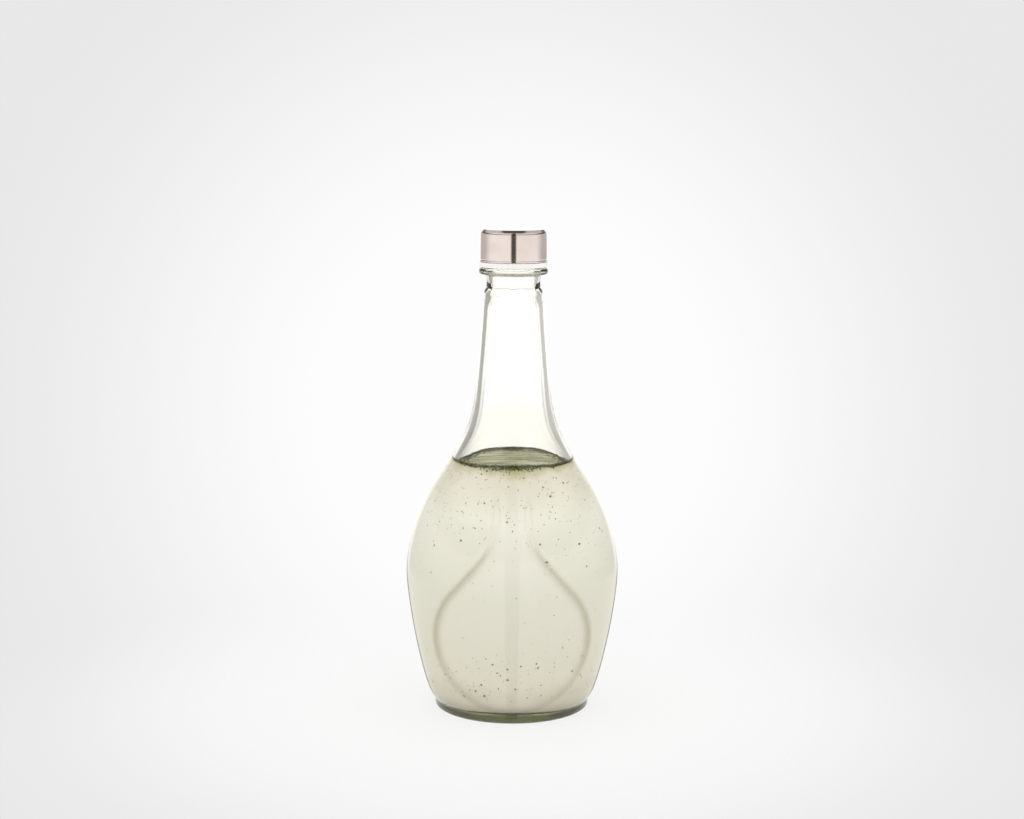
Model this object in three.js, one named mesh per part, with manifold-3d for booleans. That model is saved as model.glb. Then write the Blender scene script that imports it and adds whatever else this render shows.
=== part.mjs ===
import * as THREE from "three";
import { mergeVertices } from "three/addons/utils/BufferGeometryUtils.js";
import Module from "manifold-3d";

// Yogurt drink bottle: a pear-shaped glass bottle with a four-sided neck, a drop-shaped panel
// on the front and on the back, a screw cap under a metal shell, and a drink with floating herbs.
// Millimetres, +Z up, the base on z = 0, the front panel towards -Y.

// Fits
const GAP = 0.25; // between pieces that nest or rest on each other
const THREAD_ROOM = 1.3; // between the neck finish and the cap bore, where the thread runs

// Glass body
const BODY_RADIUS = 47; // at the widest place
const BODY_HEIGHT = 61.6; // height of the widest place
const HEEL_RADIUS = 34.3; // short upright band that the body stands on
const HEEL_HEIGHT = 3.8;
const BEARING_WIDTH = 6; // flat ring that meets the table
const PUNT = 3.2; // push-up under the base
const HEEL_ROUND = 1.6; // edge between the bearing ring and the heel band
const SHOULDER_RADIUS = 33.5; // where the outline turns from bulging to hollow
const SHOULDER_HEIGHT = 102.5;
const SHOULDER_SLOPE = 0.69; // radius lost per unit of height there
const WALL = 2.5;
const BASE_THICKNESS = 5.2;
const INNER_HEEL = 8; // height of the rounding inside the base
const INNER_HEEL_IN = 1; // how far its corner lies in from the wall

// Handles of the outline's curves: how far each one follows its end direction
const HEEL_OUT = 5; // out and up from the heel band
const HEEL_UP = 3.7;
const BELLY_BELOW = 14; // upright stretches at the widest place
const BELLY_ABOVE = 10;
const SHOULDER_BELOW = 13; // along the slope of the shoulder
const SHOULDER_ABOVE = 26;
const NECK_BELOW = 52; // down and out from the top of the neck
const NECK_OUT = 3.7;

// Glass neck and finish
const NECK_RADIUS = 12.9; // half the width across the flats at the top of the neck
const NECK_TOP = 186;
const NECK_POWER = 4; // 2 is a round section, higher values are squarer
const SQUARE_FROM = 104; // the section turns from round to four-sided between these heights
const SQUARE_TO = 140;
const COLLAR_NECKING = 0.1; // how much slimmer the collar is than the finish
const COLLAR_HEIGHT = 5.9;
const LEDGE = 1.2; // slope from the four-sided neck in to the round collar
const BEAD_OVERHANG = 0.35; // past the band and the cap that stand on it
const BEAD_HEIGHT = 2.9;
const FINISH_RADIUS = 12.1;
const LOCK_CLEARANCE = 0.3; // between the cap bore and the ring that holds the tamper band down
const LOCK_HEIGHT = 1.6;
const LOCK_FROM = 0.2; // its flat crest lies between these shares of its height
const LOCK_TO = 0.5;
const LIP_RISE = 13.3; // from the bead to the sealing face
const LIP_ROUND = 0.8;
const LIP_WALL = 2.5; // glass between the finish and the bore

// Drop-shaped panels
const PANEL_DEPTH = 1.1;
const DROP_RADIUS = 33.4;
const DROP_HEIGHT = 38.5;
const DROP_FLANK = THREE.MathUtils.degToRad(40); // flank from the upright
const TAIL_RADIUS = 7;
const TAIL_TOP = 102;
const TAIL_BEND = 8; // length of the curve from the flank into the tail

// Drink
const FILL_LEVEL = 110.6;
const HERB_WIDTH = 6;
const HERB_THICKNESS = 1.3;
const HERB_LUMPS = 11;
const HERB_RAGGED = 0.8; // in and out of the ragged inner edge

// Closure
const CAP_BEVEL = 1.4;
const CAP_WALL = 0.8; // plastic around the thread
const CAP_DRAFT = 0.15; // how much wider the shell is at its rim
const SHELL = 0.3; // metal thickness
const HEM = 1; // shell edge turned in under the plastic cap
const CAP_PANEL = 1.3; // top of the plastic cap
const LINER_THICKNESS = 1;
const BAND_HEIGHT = 2.15;
const BAND_GRIP = 0.7; // height of the band's inner edge that catches under the lock ring

// Facets
const SIDES = 48;
const DRINK_SIDES = SIDES / 2;
const OUTSIDE_STEPS = [11, 10, 14]; // along the three curves of the outline
const INSIDE_STEPS = [9, 8, 12];
const BASE_STEPS = 4;
const EDGE_STEPS = 3;
const BEAD_STEPS = 6;
const DROP_STEPS = 20;
const LEAST_STEP = 1; // between the last rings of the hollow
const HALVINGS = 30; // of a curve, to find a level on it

// Places that follow from the sizes above
const BEARING_OUTER = HEEL_RADIUS - HEEL_ROUND;
const BEARING_INNER = BEARING_OUTER - BEARING_WIDTH;
const COLLAR_BOTTOM = NECK_TOP + LEDGE;
const COLLAR_TOP = COLLAR_BOTTOM + COLLAR_HEIGHT;
const BEAD_TOP = COLLAR_TOP + BEAD_HEIGHT;
const BAND_BOTTOM = BEAD_TOP + GAP;
const BAND_TOP = BAND_BOTTOM + BAND_HEIGHT;
const CAP_BOTTOM = BAND_TOP + GAP;
const LIP_TOP = BEAD_TOP + LIP_RISE;
const LINER_BOTTOM = LIP_TOP + GAP;
const CAP_INSIDE = LINER_BOTTOM + LINER_THICKNESS + GAP;
const CAP_TOP = CAP_INSIDE + CAP_PANEL + GAP + SHELL;
const CAP_BORE = FINISH_RADIUS + THREAD_ROOM;
const CAP_RADIUS = CAP_BORE + CAP_WALL + GAP + SHELL; // below the bevel
const BEAD_RADIUS = CAP_RADIUS + CAP_DRAFT + BEAD_OVERHANG;
const COLLAR_RADIUS = FINISH_RADIUS - COLLAR_NECKING;
const BORE_RADIUS = FINISH_RADIUS - LIP_WALL;
const LOCK_DEPTH = THREAD_ROOM - LOCK_CLEARANCE;

const wasm = await Module();
wasm.setup();
const { Manifold, Mesh } = wasm;

function toSolid(geometry) {
  const bare = new THREE.BufferGeometry();
  bare.setAttribute("position", geometry.getAttribute("position"));
  bare.setIndex(geometry.index);
  const merged = mergeVertices(bare, 1e-4);
  return new Manifold(
    new Mesh({
      numProp: 3,
      vertProperties: merged.getAttribute("position").array,
      triVerts: new Uint32Array(merged.index.array),
    }),
  );
}

function toGeometry(solid) {
  const mesh = solid.getMesh();
  const geometry = new THREE.BufferGeometry();
  geometry.setAttribute("position", new THREE.BufferAttribute(mesh.vertProperties, 3));
  geometry.setIndex(new THREE.BufferAttribute(mesh.triVerts, 1));
  return geometry;
}

const point = (r, z) => new THREE.Vector2(r, z);

// A solid of revolution about Z from (radius, height) points, bottom to top along the outside.
function turned(points, sides = SIDES) {
  return new THREE.LatheGeometry(points, sides).rotateX(Math.PI / 2);
}

// Outline of the glass above the heel as three joined curves, all moved in by the inset.
function bodyCurves(inset) {
  const at = (r, z) => point(r - inset, z);
  const lower = new THREE.CubicBezierCurve(
    at(HEEL_RADIUS, HEEL_HEIGHT),
    at(HEEL_RADIUS + HEEL_OUT, HEEL_HEIGHT + HEEL_UP),
    at(BODY_RADIUS, BODY_HEIGHT - BELLY_BELOW),
    at(BODY_RADIUS, BODY_HEIGHT),
  );
  const upper = new THREE.CubicBezierCurve(
    at(BODY_RADIUS, BODY_HEIGHT),
    at(BODY_RADIUS, BODY_HEIGHT + BELLY_ABOVE),
    at(SHOULDER_RADIUS + SHOULDER_BELOW * SHOULDER_SLOPE, SHOULDER_HEIGHT - SHOULDER_BELOW),
    at(SHOULDER_RADIUS, SHOULDER_HEIGHT),
  );
  const neck = new THREE.CubicBezierCurve(
    at(SHOULDER_RADIUS, SHOULDER_HEIGHT),
    at(SHOULDER_RADIUS - SHOULDER_ABOVE * SHOULDER_SLOPE, SHOULDER_HEIGHT + SHOULDER_ABOVE),
    at(NECK_RADIUS + NECK_OUT, NECK_TOP - NECK_BELOW),
    at(NECK_RADIUS, NECK_TOP),
  );
  return [lower, upper, neck];
}

function sample(curves, steps) {
  return curves.flatMap((curve, i) => curve.getPoints(steps[i]).slice(i ? 1 : 0));
}

function neckPower(z) {
  return 2 + (NECK_POWER - 2) * THREE.MathUtils.smoothstep(z, SQUARE_FROM, SQUARE_TO);
}

// Reach at an angle of a section between a circle and a rounded square.
function sectionRadius(halfWidth, power, angle) {
  const across = Math.abs(Math.cos(angle)) ** power + Math.abs(Math.sin(angle)) ** power;
  return halfWidth / across ** (1 / power);
}

// A closed skin through level rings. The first and last points lie on the axis.
function loft(points, sides) {
  const rings = points.slice(1, -1);
  const positions = [0, 0, points[0].y];
  for (const ring of rings) {
    for (let i = 0; i < sides; i++) {
      const angle = (i * 2 * Math.PI) / sides;
      const reach = sectionRadius(ring.x, ring.power ?? 2, angle);
      positions.push(reach * Math.cos(angle), reach * Math.sin(angle), ring.y);
    }
  }
  positions.push(0, 0, points.at(-1).y);
  const last = 1 + rings.length * sides;
  const index = [];
  for (let i = 0; i < sides; i++) {
    const next = (i + 1) % sides;
    index.push(0, 1 + next, 1 + i);
    for (let k = 0; k + 1 < rings.length; k++) {
      const low = 1 + k * sides;
      const high = low + sides;
      index.push(low + i, low + next, high + next);
      index.push(low + i, high + next, high + i);
    }
    index.push(last - sides + i, last - sides + next, last);
  }
  const geometry = new THREE.BufferGeometry();
  geometry.setAttribute("position", new THREE.Float32BufferAttribute(positions, 3));
  geometry.setIndex(index);
  return geometry;
}

// Marks points of the outline with how square the section is there.
function squared(points) {
  points.forEach((p) => (p.power = neckPower(p.y)));
  return points;
}

// The push-up of the base, from its middle out to the bearing ring, over a level.
function pushUp(level) {
  return new THREE.CubicBezierCurve(
    point(0, level + PUNT),
    point(BEARING_INNER / 2, level + PUNT),
    point(BEARING_INNER / 2, level),
    point(BEARING_INNER, level),
  );
}

// Where curves that follow each other upwards pass a level.
function atLevel(curves, level) {
  const curve = curves.find((c) => c.v3.y >= level);
  let low = 0;
  let high = 1;
  for (let i = 0; i < HALVINGS; i++) {
    const middle = (low + high) / 2;
    if (curve.getPoint(middle).y < level) low = middle;
    else high = middle;
  }
  return curve.getPoint(high);
}

// The hollow of the bottle from the floor up to a level, moved in by the inset.
function cavity(inset, top) {
  const floor = BASE_THICKNESS + inset;
  const curves = bodyCurves(WALL + inset);
  const wall = sample(curves, INSIDE_STEPS);
  const clear = wall.filter((p) => p.y > floor + INNER_HEEL && p.y < top - LEAST_STEP);
  const foot = clear[0];
  const edge = atLevel(curves, top);
  const rounding = new THREE.QuadraticBezierCurve(
    point(BEARING_INNER, floor),
    point(foot.x - INNER_HEEL_IN, floor),
    foot,
  );
  const dome = pushUp(floor).getPoints(BASE_STEPS).slice(0, -1);
  const heel = rounding.getPoints(BASE_STEPS).slice(0, -1);
  return squared([...dome, ...heel, ...clear, edge]);
}

function bottleOutside() {
  const edge = new THREE.EllipseCurve(BEARING_OUTER, HEEL_ROUND, HEEL_ROUND, HEEL_ROUND, -Math.PI / 2, 0);
  const base = [...pushUp(0).getPoints(BASE_STEPS), ...edge.getPoints(EDGE_STEPS)];
  const body = sample(bodyCurves(0), OUTSIDE_STEPS);
  const middle = COLLAR_TOP + BEAD_HEIGHT / 2;
  const bead = new THREE.EllipseCurve(
    BEAD_RADIUS - BEAD_HEIGHT / 2,
    middle,
    BEAD_HEIGHT / 2,
    BEAD_HEIGHT / 2,
    -Math.PI / 2,
    Math.PI / 2,
  );
  const lockRadius = FINISH_RADIUS + LOCK_DEPTH;
  const finish = [
    point(COLLAR_RADIUS, COLLAR_BOTTOM),
    point(COLLAR_RADIUS, COLLAR_TOP),
    ...bead.getPoints(BEAD_STEPS),
    point(FINISH_RADIUS, BEAD_TOP),
    point(FINISH_RADIUS, CAP_BOTTOM),
    point(lockRadius, CAP_BOTTOM + LOCK_FROM * LOCK_HEIGHT),
    point(lockRadius, CAP_BOTTOM + LOCK_TO * LOCK_HEIGHT),
    point(FINISH_RADIUS, CAP_BOTTOM + LOCK_HEIGHT),
    point(FINISH_RADIUS, LIP_TOP - LIP_ROUND),
    point(FINISH_RADIUS - LIP_ROUND, LIP_TOP),
    point(BORE_RADIUS + LIP_ROUND, LIP_TOP),
    point(BORE_RADIUS, LIP_TOP - LIP_ROUND),
  ];
  return [...base, ...squared(body), ...finish];
}

// Outline of one panel, seen from the front: a round drop that narrows into an upright tail.
function dropShape() {
  const flank = point(Math.cos(DROP_FLANK), Math.sin(DROP_FLANK)).multiplyScalar(DROP_RADIUS);
  flank.y += DROP_HEIGHT;
  const run = (flank.x - TAIL_RADIUS) / Math.sin(DROP_FLANK);
  const knee = flank.y + run * Math.cos(DROP_FLANK);
  const bendX = TAIL_RADIUS + TAIL_BEND * Math.sin(DROP_FLANK);
  const bendY = knee - TAIL_BEND * Math.cos(DROP_FLANK);
  const shape = new THREE.Shape();
  shape.moveTo(TAIL_RADIUS, knee + TAIL_BEND);
  shape.lineTo(TAIL_RADIUS, TAIL_TOP - TAIL_RADIUS);
  shape.absarc(0, TAIL_TOP - TAIL_RADIUS, TAIL_RADIUS, 0, Math.PI);
  shape.lineTo(-TAIL_RADIUS, knee + TAIL_BEND);
  shape.quadraticCurveTo(-TAIL_RADIUS, knee, -bendX, bendY);
  shape.lineTo(-flank.x, flank.y);
  shape.absarc(0, DROP_HEIGHT, DROP_RADIUS, Math.PI - DROP_FLANK, 2 * Math.PI + DROP_FLANK);
  shape.lineTo(bendX, bendY);
  shape.quadraticCurveTo(TAIL_RADIUS, knee, TAIL_RADIUS, knee + TAIL_BEND);
  return shape;
}

// What a panel takes off the glass: the drop pushed in from one side, down to a core inside the skin.
function panelCut(core, turn) {
  const block = new THREE.ExtrudeGeometry(dropShape(), {
    depth: BODY_RADIUS + PANEL_DEPTH,
    bevelEnabled: false,
    curveSegments: DROP_STEPS,
  });
  return toSolid(block.rotateX(Math.PI / 2).rotateZ(turn)).subtract(core);
}

function glassBottle() {
  const bore = point(BORE_RADIUS, COLLAR_BOTTOM);
  const inside = [...cavity(0, NECK_TOP - 2 * BEAD_HEIGHT), bore].reverse();
  const bottle = toSolid(loft([...bottleOutside(), ...inside], SIDES));
  const skin = sample(bodyCurves(PANEL_DEPTH), OUTSIDE_STEPS);
  const core = toSolid(turned([point(0, HEEL_HEIGHT), ...skin, point(0, NECK_TOP)]));
  return toGeometry(bottle.subtract(panelCut(core, 0)).subtract(panelCut(core, Math.PI)));
}

function drink() {
  return loft([...cavity(GAP, FILL_LEVEL), point(0, FILL_LEVEL)], DRINK_SIDES);
}

// A ragged ring of herbs that lies on the surface along the glass.
function floatingHerbs() {
  const bottom = FILL_LEVEL + GAP;
  const outer = cavity(GAP, bottom + HERB_THICKNESS).at(-1).x;
  const shape = new THREE.Shape().absarc(0, 0, outer, 0, 2 * Math.PI);
  const edge = [];
  const steps = 4 * HERB_LUMPS;
  for (let i = 0; i < steps; i++) {
    const angle = (i * 2 * Math.PI) / steps;
    const wave = Math.sin(HERB_LUMPS * angle) + 0.5 * Math.sin(2 * angle);
    const reach = outer - HERB_WIDTH + HERB_RAGGED * wave;
    edge.push(point(reach * Math.cos(angle), reach * Math.sin(angle)));
  }
  shape.holes.push(new THREE.Path(edge));
  const raft = new THREE.ExtrudeGeometry(shape, {
    depth: HERB_THICKNESS,
    bevelEnabled: false,
    curveSegments: DRINK_SIDES,
  });
  return raft.translate(0, 0, bottom);
}

// Outside of the cap from the axis to the rim, moved in by the inset.
function capOutline(inset, rim) {
  const corner = inset * Math.tan(Math.PI / 8);
  return [
    point(0, CAP_TOP - inset),
    point(CAP_RADIUS - CAP_BEVEL - corner, CAP_TOP - inset),
    point(CAP_RADIUS - inset, CAP_TOP - CAP_BEVEL - corner),
    point(CAP_RADIUS + CAP_DRAFT - inset, rim),
  ];
}

function capShell() {
  const outside = capOutline(0, CAP_BOTTOM).reverse();
  const hem = CAP_RADIUS + CAP_DRAFT - HEM;
  const inside = capOutline(SHELL, CAP_BOTTOM + SHELL);
  return turned([...inside, point(hem, CAP_BOTTOM + SHELL), point(hem, CAP_BOTTOM), ...outside]);
}

function innerCap() {
  const rim = CAP_BOTTOM + SHELL + GAP;
  const outside = capOutline(SHELL + GAP, rim).reverse();
  return turned([point(0, CAP_INSIDE), point(CAP_BORE, CAP_INSIDE), point(CAP_BORE, rim), ...outside]);
}

function sealingLiner() {
  const radius = CAP_BORE - GAP;
  const top = LINER_BOTTOM + LINER_THICKNESS;
  return turned([point(0, LINER_BOTTOM), point(radius, LINER_BOTTOM), point(radius, top), point(0, top)]);
}

function tamperBand() {
  const outer = CAP_RADIUS + CAP_DRAFT;
  const inner = FINISH_RADIUS + 0.5 * LOCK_DEPTH;
  const relief = inner + 0.5 * LOCK_DEPTH;
  const section = [
    point(relief, BAND_BOTTOM),
    point(outer, BAND_BOTTOM),
    point(outer, BAND_TOP),
    point(inner, BAND_TOP),
    point(inner, BAND_TOP - BAND_GRIP),
    point(relief, BAND_TOP - 2 * BAND_GRIP),
    point(relief, BAND_BOTTOM),
  ];
  return turned(section);
}

const GLASS = { color: 0xdfe6dc, roughness: 0.06, metalness: 0, transparent: true, opacity: 0.35 };
const CLOUDY = { color: 0xe0dcc6, roughness: 0.15, metalness: 0, transparent: true, opacity: 0.75 };
const HERBS = { color: 0x3f4022, roughness: 0.8, metalness: 0 };
const WHITE_PLASTIC = { color: 0xf2eee8, roughness: 0.45, metalness: 0 };
const FOAM = { color: 0xf4f4f0, roughness: 0.85, metalness: 0 };
const WARM_SILVER = { color: 0xd8cac4, roughness: 0.3, metalness: 1 };

const bottle = new THREE.Group();
function add(name, geometry, look) {
  const mesh = new THREE.Mesh(geometry, new THREE.MeshStandardMaterial(look));
  mesh.name = name;
  bottle.add(mesh);
}

add("glass_bottle", glassBottle(), GLASS);
add("drink", drink(), CLOUDY);
add("floating_herbs", floatingHerbs(), HERBS);
add("tamper_band", tamperBand(), WHITE_PLASTIC);
add("sealing_liner", sealingLiner(), FOAM);
add("inner_cap", innerCap(), WHITE_PLASTIC);
add("cap_shell", capShell(), WARM_SILVER);

export default bottle;
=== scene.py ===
import math

import bpy
import numpy as np
from mathutils import Matrix, Vector


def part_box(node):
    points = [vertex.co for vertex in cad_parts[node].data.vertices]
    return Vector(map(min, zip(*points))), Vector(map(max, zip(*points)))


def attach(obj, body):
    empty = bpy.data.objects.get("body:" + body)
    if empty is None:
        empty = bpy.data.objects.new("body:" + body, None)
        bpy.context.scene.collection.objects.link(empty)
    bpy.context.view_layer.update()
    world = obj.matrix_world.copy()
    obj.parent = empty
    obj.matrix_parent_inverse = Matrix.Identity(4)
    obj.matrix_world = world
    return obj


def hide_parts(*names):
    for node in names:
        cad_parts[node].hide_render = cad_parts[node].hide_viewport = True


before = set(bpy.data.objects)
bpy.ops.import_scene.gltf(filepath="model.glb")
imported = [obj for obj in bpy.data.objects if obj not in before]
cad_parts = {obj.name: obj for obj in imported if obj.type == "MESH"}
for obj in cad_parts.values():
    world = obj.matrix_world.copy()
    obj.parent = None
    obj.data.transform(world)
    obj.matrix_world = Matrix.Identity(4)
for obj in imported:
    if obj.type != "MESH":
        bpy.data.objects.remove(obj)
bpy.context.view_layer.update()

# Sizes are in millimetres and heights run up from the table; MM turns them into the frame's metres.
MM = 0.001
rng = np.random.default_rng(11)


def span(node):
    low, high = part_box(node)
    return np.array(low) / MM, np.array(high) / MM


# Read from the frame
shell_low, shell_high = span("cap_shell")
inner_low, inner_high = span("inner_cap")
band_low, band_high = span("tamper_band")
liner_low, liner_high = span("sealing_liner")
LEVEL = span("drink")[1][2]
BODY_RADIUS, _, LIP_TOP = span("glass_bottle")[1]

# The outside of the glass, as in the part's source
BODY_HEIGHT = 61.6
HEEL_RADIUS, HEEL_HEIGHT, HEEL_ROUND = 34.3, 3.8, 1.6
BEARING_WIDTH = 6.0
BEARING_OUTER = HEEL_RADIUS - HEEL_ROUND
BEARING_INNER = BEARING_OUTER - BEARING_WIDTH
PUNT = 3.2
SHOULDER_RADIUS, SHOULDER_HEIGHT, SHOULDER_SLOPE = 33.5, 102.5, 0.69
NECK_RADIUS, NECK_TOP = 12.9, 186.0
LOWER_HANDLES = (5.0, 3.7), 14.0
UPPER_HANDLES = 10.0, 13.0
NECK_HANDLES = 26.0, (3.7, 52.0)
CURVE_STEPS = 800
SQUARE_FROM, SQUARE_TO, NECK_POWER = 104.0, 140.0, 4.0
LEDGE, COLLAR_RADIUS, COLLAR_HEIGHT = 1.2, 12.0, 5.9
COLLAR_BOTTOM = NECK_TOP + LEDGE
COLLAR_TOP = COLLAR_BOTTOM + COLLAR_HEIGHT
BEAD_RADIUS, BEAD_HEIGHT = 15.25, 2.9
FINISH_RADIUS, LOCK_DEPTH, LOCK_HEIGHT, LIP_ROUND = 12.1, 1.0, 1.6, 0.8

# Finer forms of the outside: crease over the heel, knurl of the bearing ring, corners under the collar
CREASE_TOP, CREASE_ROUND = 5.2, 0.9
KNURL, KNURL_INNER, KNURL_OUTER = 0.22, BEARING_INNER + 0.4, BEARING_OUTER - 0.2
LEDGE_ROUND, LEDGE_EASE = 0.3, 0.7
CORNER_DROP, CORNER_REACH = 2.4, 8.0

# The inside of the glass: the wall is thicker at the shoulder and thinner in the neck
WALL, SHOULDER_WALL, NECK_WALL = 2.5, 3.3, 1.6
THICKER, THINNER = (84.0, 108.0), (112.0, 152.0)
FLOOR, INNER_HEEL = 4.2, 6.5
FOOT = FLOOR + INNER_HEEL
BORE_RADIUS, BORE_LOW, HOLLOW_TOP = 9.6, 191.6, 176.5

# The drop panel, on the front and on the back
PANEL_DEPTH, PANEL_EDGE, FOOT_EDGE = 1.1, 3.6, 11.0
DROP_RADIUS, DROP_HEIGHT, DROP_FLANK = 33.4, 38.5, math.radians(40)
TAIL_RADIUS, TAIL_TOP, TAIL_FADE, TAIL_BEND = 7.0, 112.0, 24.0, 11.0
FOOT_FADE = 8.0, 34.0

# Painted shade along its border: width to either side, strength, and the heights where it grows and fades
BORDER_OUTSIDE, BORDER_INSIDE = 1.0, 2.2
BORDER_SHADE, FOOT_SHADE = 0.5, 0.55
BORDER_GROWS, BORDER_FADES = (14.0, 40.0), (68.0, 88.0)

# The screw thread
PITCH, THREAD_DEPTH, THREAD_HALF, THREAD_CREST = 3.18, 1.0, 0.95, 0.35
THREAD_LOW, THREAD_TURNS, THREAD_FADE = 201.6, 1.7, 0.12

# The drink: its surface curls up at the wall, and it stays a little clear of the wall so that the herbs
# on the wall show
MENISCUS, MENISCUS_WIDTH, MENISCUS_POWER = 1.0, 2.6, 2.4
RIM = LEVEL + MENISCUS
DRINK_GAP = 0.2

# The closure
CAP_BORE, CAP_TOP, CAP_THREAD_DEPTH = 13.4, 1.3, 0.9
CAP_DRAFT, CAP_BEVEL, CAP_ROUND, BEVEL_ROUND = 0.15, 1.4, 0.3, 0.8
METAL_THICKNESS, HEM, BEND_ALLOWANCE = 0.3, 1.0, 0.12
BAND_ROUND, BAND_LIP, BAND_SLOPE = 0.28, 0.7, 1.4
BRIDGES, BRIDGE_HEIGHT, BRIDGE_DEPTH, BRIDGE_HALF = 12, 0.16, 0.7, (0.25, 0.45)
LINER_WAVE, LINER_PITCH, LINER_EDGE = 0.12, 3.2, 0.6

# Points round each piece
SIDES, DRINK_SIDES, CAP_SIDES = 264, 192, 192
NEAR = 0.01  # what counts as the same place


def smooth(value, low, high):
    t = np.clip((np.asarray(value, float) - low) / (high - low), 0, 1)
    return t * t * (3 - 2 * t)


def bezier(points, steps):
    t = np.linspace(0, 1, steps)[:, None]
    a, b, c, d = (np.array(p, float) for p in points)
    return (1 - t) ** 3 * a + 3 * (1 - t) ** 2 * t * b + 3 * (1 - t) * t**2 * c + t**3 * d


def arc(centre, radius, start, end, steps):
    a = np.radians(np.linspace(start, end, steps))
    return np.column_stack([centre[0] + radius * np.cos(a), centre[1] + radius * np.sin(a)])


def outline_table():
    (out, up), below = LOWER_HANDLES
    above, down = UPPER_HANDLES
    rise, (wide, drop) = NECK_HANDLES
    lower = bezier(
        [
            (HEEL_RADIUS, HEEL_HEIGHT),
            (HEEL_RADIUS + out, HEEL_HEIGHT + up),
            (BODY_RADIUS, BODY_HEIGHT - below),
            (BODY_RADIUS, BODY_HEIGHT),
        ],
        CURVE_STEPS,
    )
    upper = bezier(
        [
            (BODY_RADIUS, BODY_HEIGHT),
            (BODY_RADIUS, BODY_HEIGHT + above),
            (SHOULDER_RADIUS + down * SHOULDER_SLOPE, SHOULDER_HEIGHT - down),
            (SHOULDER_RADIUS, SHOULDER_HEIGHT),
        ],
        CURVE_STEPS,
    )
    neck = bezier(
        [
            (SHOULDER_RADIUS, SHOULDER_HEIGHT),
            (SHOULDER_RADIUS - rise * SHOULDER_SLOPE, SHOULDER_HEIGHT + rise),
            (NECK_RADIUS + wide, NECK_TOP - drop),
            (NECK_RADIUS, NECK_TOP),
        ],
        CURVE_STEPS,
    )
    return np.vstack([lower, upper[1:], neck[1:]])


OUTLINE = outline_table()


def radius_at(z):
    return np.interp(z, OUTLINE[:, 1], OUTLINE[:, 0])


# Half width of the inside.
def wall_at(z):
    thicker = (SHOULDER_WALL - WALL) * smooth(z, *THICKER)
    thinner = (SHOULDER_WALL - NECK_WALL) * smooth(z, *THINNER)
    return radius_at(z) - WALL - thicker + thinner


# Power of the cross-section's outline: 2 is round, more is squarer.
def power_at(z):
    return 2 + (NECK_POWER - 2) * smooth(z, SQUARE_FROM, SQUARE_TO)


# The inside's reach from the axis in one direction.
def reach_at(a, z):
    power = power_at(z)
    return wall_at(z) / (abs(math.cos(a)) ** power + abs(math.sin(a)) ** power) ** (1 / power)


def mesh_object(name, vertices, faces, material, body, node=None):
    mesh = bpy.data.meshes.new(name)
    mesh.from_pydata((np.asarray(vertices, float) * MM).tolist(), [], faces)
    mesh.validate()
    mesh.shade_smooth()
    mesh.materials.append(material)
    obj = bpy.data.objects.new(name, mesh)
    bpy.context.scene.collection.objects.link(obj)
    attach(obj, body)
    if node:
        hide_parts(node)
    return obj


# A skin through rings of (half width, height, power), closed to a point on the axis at both ends.
# shape, if given, changes the reach and height of every ring point: shape(reach, angle, height).
def skin(rows, sides, shape=None):
    rows = np.asarray(rows, float)
    angle = np.arange(sides) * 2 * math.pi / sides
    half, z, power = (rows[1:-1, i][:, None] for i in range(3))
    across = np.abs(np.cos(angle)) ** power + np.abs(np.sin(angle)) ** power
    reach = half / across ** (1 / power)
    z = np.broadcast_to(z, reach.shape)
    if shape:
        reach, z = shape(reach, np.broadcast_to(angle, reach.shape), z)
    rings = np.stack([reach * np.cos(angle), reach * np.sin(angle), z], axis=-1)
    count = len(rings)
    first = np.array([[0, 0, rows[0, 1]]])
    last = np.array([[0, 0, rows[-1, 1]]])
    vertices = np.vstack([first, rings.reshape(-1, 3), last])
    at = 1 + np.arange(count * sides).reshape(count, sides)
    turn = np.roll(at, -1, axis=1)
    quads = np.stack([at[:-1], turn[:-1], turn[1:], at[1:]], axis=-1).reshape(-1, 4)
    top = len(vertices) - 1
    faces = [(0, int(turn[0, i]), int(at[0, i])) for i in range(sides)]
    faces += quads.tolist()
    faces += [(int(at[-1, i]), int(turn[-1, i]), top) for i in range(sides)]
    return vertices, faces


# A ring that doesn't reach the axis: a closed section of (radius, height) points turned about it.
def ring_skin(section, sides, shape):
    section = np.asarray(section, float)
    angle = np.arange(sides) * 2 * math.pi / sides
    r = np.repeat(section[:, 0][:, None], sides, axis=1)
    z = np.repeat(section[:, 1][:, None], sides, axis=1)
    r, z = shape(r, np.broadcast_to(angle, r.shape), z)
    vertices = np.stack([r * np.cos(angle), r * np.sin(angle), z], axis=-1).reshape(-1, 3)
    at = np.arange(len(section) * sides).reshape(len(section), sides)
    turn = np.roll(at, -1, axis=1)
    up, up_turn = np.roll(at, -1, axis=0), np.roll(turn, -1, axis=0)
    return vertices, np.stack([at, turn, up_turn, up], axis=-1).reshape(-1, 4).tolist()


# A polyline of (radius, height) corners with each inner corner rounded, by one radius or by one for each.
def rounded(points, radius, steps=5):
    points = [np.array(p, float) for p in points]
    made = [points[0]]
    radii = np.broadcast_to(radius, len(points) - 2)
    for before, corner, after, size in zip(points, points[1:], points[2:], radii):
        to_before, to_after = before - corner, after - corner
        reach = min(size, 0.45 * np.linalg.norm(to_before), 0.45 * np.linalg.norm(to_after))
        start = corner + to_before / np.linalg.norm(to_before) * reach
        end = corner + to_after / np.linalg.norm(to_after) * reach
        for t in np.linspace(0, 1, steps):
            made.append((1 - t) ** 2 * start + 2 * t * (1 - t) * corner + t * t * end)
    made.append(points[-1])
    return np.array(made)


def with_power(points, power=2.0):
    points = np.asarray(points, float)
    return np.column_stack([points, np.full(len(points), power)])


# Materials


def colour(r, g, b):
    def linear(v):
        v /= 255
        return v / 12.92 if v <= 0.04045 else ((v + 0.055) / 1.055) ** 2.4

    return linear(r), linear(g), linear(b), 1.0


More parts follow.
